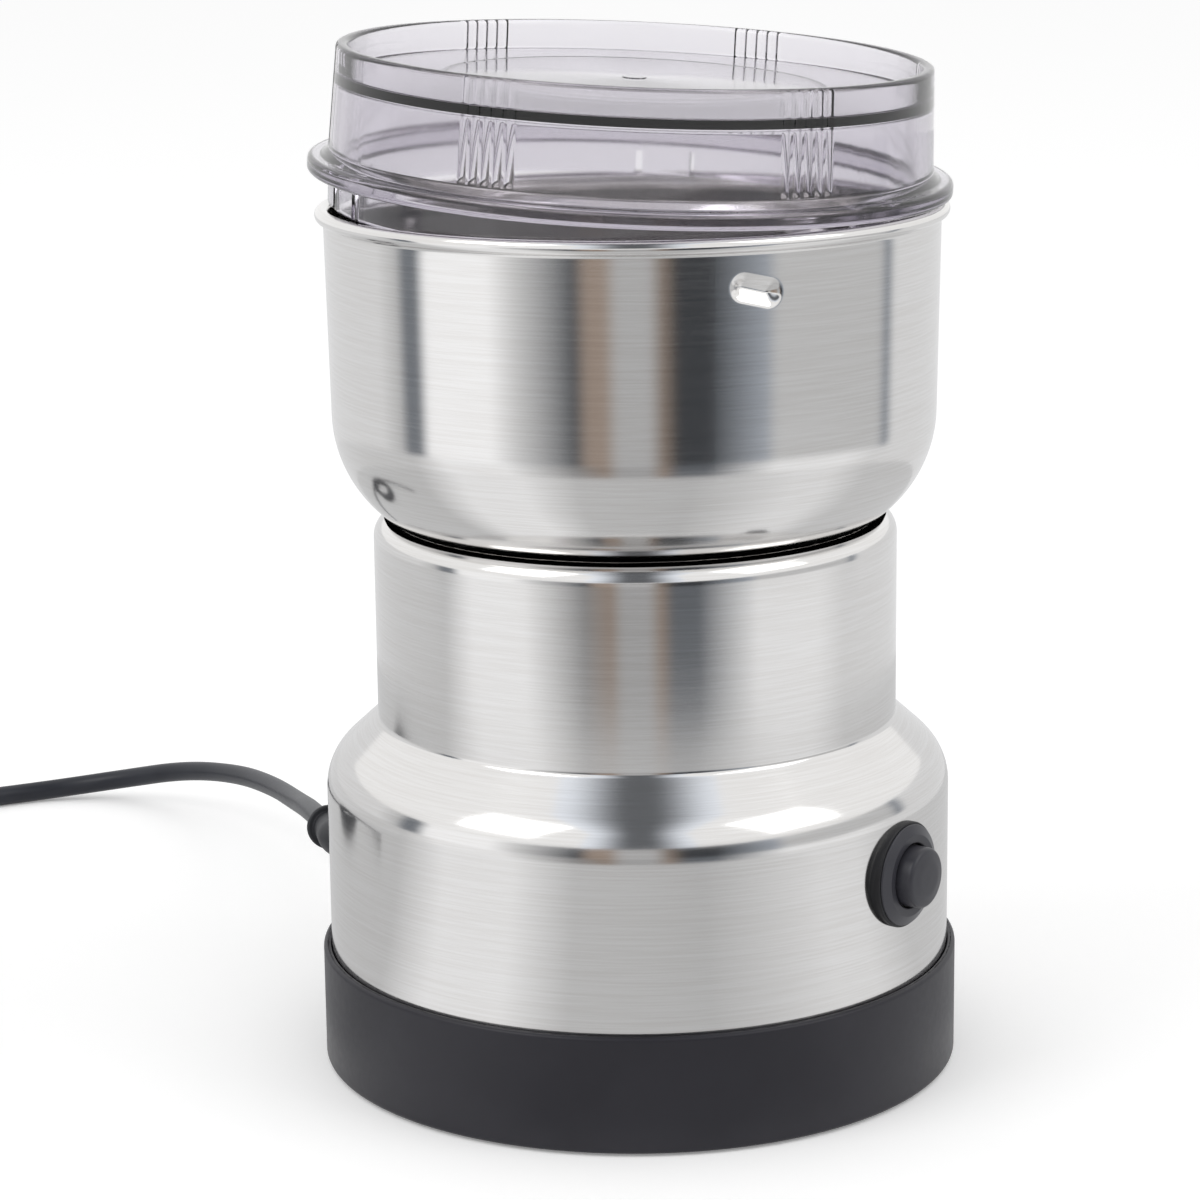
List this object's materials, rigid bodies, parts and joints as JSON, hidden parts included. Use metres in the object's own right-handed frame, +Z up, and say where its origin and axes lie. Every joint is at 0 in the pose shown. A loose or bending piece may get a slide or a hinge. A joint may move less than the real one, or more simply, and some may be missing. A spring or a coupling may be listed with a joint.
{
  "type": "spice grinder",
  "caption": "Electric blade spice grinder: stainless body and bowl on a black base, smoky clear lid set askew, side push button, mains lead with plug",
  "frame": {"origin": "on the body's axis, at the surface that the rubber feet stand on", "axes": "+Z up along the body's axis, -Y the front, +X the user's right"},
  "size_m": [0.2544, 0.2113, 0.1744],
  "materials": {
    "black_body": "satin",
    "black_inner": "matte",
    "black_button": "satin",
    "rubber_black": "matte",
    "zinc_steel": "zinc plated",
    "brushed_steel": "turned and brushed",
    "blade_steel": "ground",
    "bronze": "sintered",
    "brass": "plain",
    "nickel": "nickel plated",
    "lamination": "stacked sheet",
    "copper_wire": "enamelled",
    "copper_bar": "turned",
    "carbon": "pressed",
    "smoky_clear": "clear, smoky",
    "wire_sleeve": "satin",
    "cord_grey": "satin",
    "tie_black": "satin",
    "plug_black": "satin"
  },
  "bodies": {
    "housing": {"base_ring": "black_body", "base_plate": "black_inner", "rubber_feet": "rubber_black", "base_screws": "zinc_steel", "body_shell": "brushed_steel", "bowl": "brushed_steel", "bowl_screws": "zinc_steel", "bowl_mount": "black_inner", "bowl_seal": "rubber_black", "upper_bearing": "bronze", "lower_bearing": "bronze", "lower_bracket": "black_inner", "stator_core": "lamination", "field_coils": "copper_wire", "motor_screws": "zinc_steel", "brush_holders": "brass", "carbon_brushes": "carbon", "brush_springs": "zinc_steel", "switch_gasket": "rubber_black", "switch_bezel": "black_body", "switch_nut": "black_inner", "switch_housing": "black_inner", "switch_spring": "zinc_steel", "switch_terminals": "brass", "internal_leads": "wire_sleeve", "strain_relief": "cord_grey", "power_cord": "cord_grey", "cord_coil": "cord_grey", "cord_tie": "tie_black", "plug_cord": "cord_grey", "plug_body": "plug_black", "plug_pins": "nickel"},
    "rotor": {"motor_shaft": "zinc_steel", "armature_core": "lamination", "armature_winding": "copper_wire", "commutator": "copper_bar", "cooling_fan": "black_inner", "blade_spacer": "zinc_steel", "blade": "blade_steel", "blade_washer": "zinc_steel", "blade_nut": "zinc_steel"},
    "button": {"switch_button": "black_button"},
    "lid": {"lid_cover": "smoky_clear"}
  },
  "joints": [
    {"name": "blade_spin", "type": "hinge", "parent": "housing", "child": "rotor", "pos_m": [0, 0, 0.097], "axis": [0, 0, 1], "continuous": true},
    {"name": "button_press", "type": "slide", "parent": "housing", "child": "button", "axis": [-0.8141, 0.5807, 0], "range_m": [0, 0.0025], "stiffness_N_per_m": 600, "springref_m": -0.002, "deforming": ["switch_spring"]},
    {"name": "lid_lift", "type": "slide", "parent": "housing", "child": "lid", "axis": [0, 0, 1], "range_m": [0, 0.06]}
  ]
}
